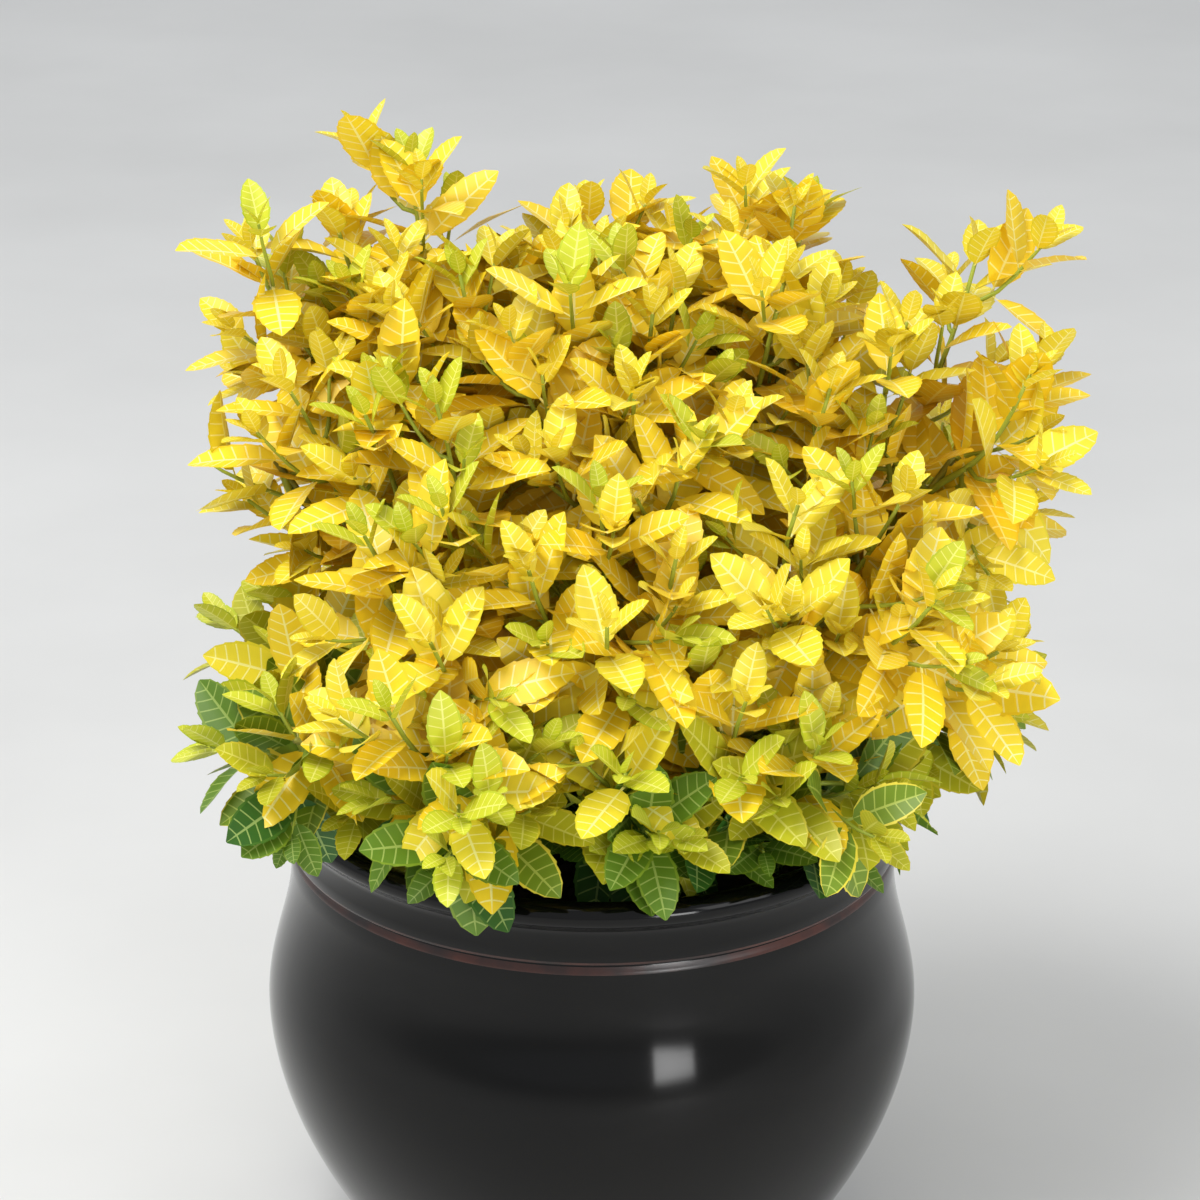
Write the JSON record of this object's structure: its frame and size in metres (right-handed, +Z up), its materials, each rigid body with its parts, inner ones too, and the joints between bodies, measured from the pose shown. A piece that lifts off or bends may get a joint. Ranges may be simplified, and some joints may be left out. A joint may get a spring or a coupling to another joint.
{
  "type": "potted wintercreeper",
  "caption": "young golden-leaved wintercreeper shrub with dense upright shoots, growing in a round glossy black glazed pot with a thick lip",
  "frame": {"origin": "centre of the pot's flat underside", "axes": "+Z up, -Y towards the front, +X to the right of the front view"},
  "size_m": [0.3276, 0.3044, 0.4291],
  "materials": {
    "pot_glaze": "gloss",
    "soil": "matte",
    "stem_bark": "matte",
    "bough_bark": "satin",
    "golden_leaf": "satin"
  },
  "bodies": {
    "root": {"pot": "pot_glaze", "soil": "soil", "main_stem": "stem_bark", "bough_crest_left": "bough_bark", "bough_crest_middle": "bough_bark", "bough_crest_right": "bough_bark", "bough_outer_left": "bough_bark", "bough_outer_right": "bough_bark", "bough_front_left": "bough_bark", "bough_front_middle": "bough_bark", "bough_front_right": "bough_bark", "bough_low_left": "bough_bark", "bough_low_right": "bough_bark", "bough_sprawl_left": "bough_bark", "bough_near_left": "bough_bark", "bough_skirt_front": "bough_bark", "bough_near_right": "bough_bark", "bough_back_left": "bough_bark", "bough_back_middle": "bough_bark", "bough_back_right": "bough_bark", "foliage_crest_left": "golden_leaf", "foliage_crest_middle": "golden_leaf", "foliage_crest_right": "golden_leaf", "foliage_outer_left": "golden_leaf", "foliage_outer_right": "golden_leaf", "foliage_centre": "golden_leaf", "foliage_front_left": "golden_leaf", "foliage_front_middle": "golden_leaf", "foliage_front_right": "golden_leaf", "foliage_low_left": "golden_leaf", "foliage_low_right": "golden_leaf", "foliage_sprawl_left": "golden_leaf", "foliage_near_left": "golden_leaf", "foliage_skirt_front": "golden_leaf", "foliage_near_right": "golden_leaf", "foliage_back_left": "golden_leaf", "foliage_back_middle": "golden_leaf", "foliage_back_right": "golden_leaf"}
  },
  "joints": []
}
